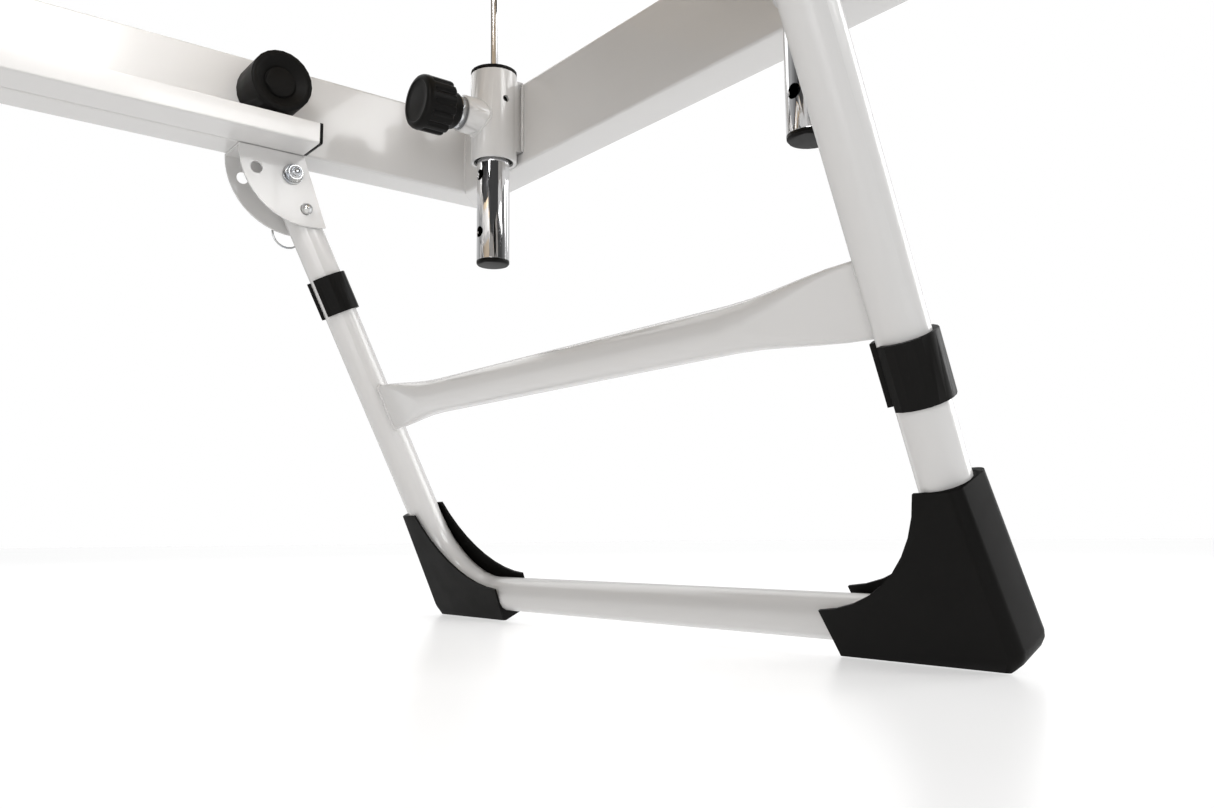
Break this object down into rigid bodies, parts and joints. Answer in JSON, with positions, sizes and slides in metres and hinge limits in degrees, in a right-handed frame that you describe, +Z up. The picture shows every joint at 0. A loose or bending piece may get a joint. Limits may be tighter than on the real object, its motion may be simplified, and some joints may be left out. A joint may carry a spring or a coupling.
{
  "type": "portable massage table",
  "caption": "Portable massage table with a white steel frame, folding braced U-legs with black shoes, pull pins, and a headrest on chromed posts that slides and locks with pull knobs.",
  "frame": {"origin": "bottom centre of the whole object's bounding box, on the floor below the middle of the frame", "axes": "+X towards the head end (the end with the two chromed posts), +Y to the table's left, +Z up"},
  "size_m": [1.85, 0.663, 0.7073],
  "materials": {
    "white_powder_coat": "glossy white powder coat",
    "chrome": "bright polished",
    "zinc": "zinc plated",
    "black_rubber": "matte moulded",
    "black_plastic": "matte moulded",
    "plywood": "sealed plywood",
    "vinyl": "soft grained vinyl"
  },
  "bodies": {
    "frame": {"side_rail_left": "white_powder_coat", "side_rail_right": "white_powder_coat", "end_rail_head": "white_powder_coat", "end_rail_foot": "white_powder_coat", "cross_rail_head": "white_powder_coat", "cross_rail_middle": "white_powder_coat", "cross_rail_foot": "white_powder_coat", "inner_rail_left": "white_powder_coat", "inner_rail_right": "white_powder_coat", "inner_rail_cap_head_left": "black_plastic", "inner_rail_cap_head_right": "black_plastic", "inner_rail_cap_foot_left": "black_plastic", "inner_rail_cap_foot_right": "black_plastic", "leg_bracket_head_left": "white_powder_coat", "pivot_bolt_head_left": "zinc", "rail_buffer_head_left": "black_rubber", "leg_bracket_head_right": "white_powder_coat", "pivot_bolt_head_right": "zinc", "rail_buffer_head_right": "black_rubber", "leg_bracket_foot_left": "white_powder_coat", "pivot_bolt_foot_left": "zinc", "rail_buffer_foot_left": "black_rubber", "leg_bracket_foot_right": "white_powder_coat", "pivot_bolt_foot_right": "zinc", "rail_buffer_foot_right": "black_rubber", "post_socket_left": "white_powder_coat", "post_bush_left": "black_plastic", "lock_barrel_left": "zinc", "post_socket_right": "white_powder_coat", "post_bush_right": "black_plastic", "lock_barrel_right": "zinc", "top_board": "plywood", "top_cushion": "vinyl"},
    "head_legs": {"leg_frame_head": "white_powder_coat", "leg_brace_head": "white_powder_coat", "leg_shoe_head_left": "black_rubber", "leg_shoe_head_right": "black_rubber", "leg_collar_head_left": "black_plastic", "leg_collar_head_right": "black_plastic"},
    "foot_legs": {"leg_frame_foot": "white_powder_coat", "leg_brace_foot": "white_powder_coat", "leg_shoe_foot_left": "black_rubber", "leg_shoe_foot_right": "black_rubber", "leg_collar_foot_left": "black_plastic", "leg_collar_foot_right": "black_plastic"},
    "headrest": {"post_tube_left": "chrome", "post_cap_left": "black_plastic", "post_rod_left": "chrome", "post_tube_right": "chrome", "post_cap_right": "black_plastic", "post_rod_right": "chrome", "headrest_board": "plywood", "headrest_cushion": "vinyl"},
    "pin_head_left": {"lock_pin_head_left": "zinc"},
    "pin_head_right": {"lock_pin_head_right": "zinc"},
    "pin_foot_left": {"lock_pin_foot_left": "zinc"},
    "pin_foot_right": {"lock_pin_foot_right": "zinc"},
    "knob_left": {"lock_knob_left": "black_plastic"},
    "knob_right": {"lock_knob_right": "black_plastic"}
  },
  "joints": [
    {"name": "head_leg_fold", "type": "hinge", "parent": "frame", "child": "head_legs", "pos_m": [0.7056, 0, 0.4051], "axis": [0, 1, 0], "range_deg": [0, 115.2]},
    {"name": "foot_leg_fold", "type": "hinge", "parent": "frame", "child": "foot_legs", "pos_m": [-0.7056, 0, 0.4051], "axis": [0, -1, 0], "range_deg": [0, 115.2]},
    {"name": "headrest_height", "type": "slide", "parent": "frame", "child": "headrest", "axis": [0, 0, 1], "range_m": [0, 0.1096]},
    {"name": "pin_pull_head_left", "type": "slide", "parent": "frame", "child": "pin_head_left", "axis": [0, 1, 0], "range_m": [0, 0.045]},
    {"name": "pin_pull_head_right", "type": "slide", "parent": "frame", "child": "pin_head_right", "axis": [0, -1, 0], "range_m": [0, 0.045]},
    {"name": "pin_pull_foot_left", "type": "slide", "parent": "frame", "child": "pin_foot_left", "axis": [0, 1, 0], "range_m": [0, 0.045]},
    {"name": "pin_pull_foot_right", "type": "slide", "parent": "frame", "child": "pin_foot_right", "axis": [0, -1, 0], "range_m": [0, 0.045]},
    {"name": "knob_pull_left", "type": "slide", "parent": "frame", "child": "knob_left", "axis": [-1, 0, 0], "range_m": [0, 0.008], "stiffness_N_per_m": 800, "springref_m": -0.003},
    {"name": "knob_pull_right", "type": "slide", "parent": "frame", "child": "knob_right", "axis": [-1, 0, 0], "range_m": [0, 0.008], "stiffness_N_per_m": 800, "springref_m": -0.003}
  ]
}
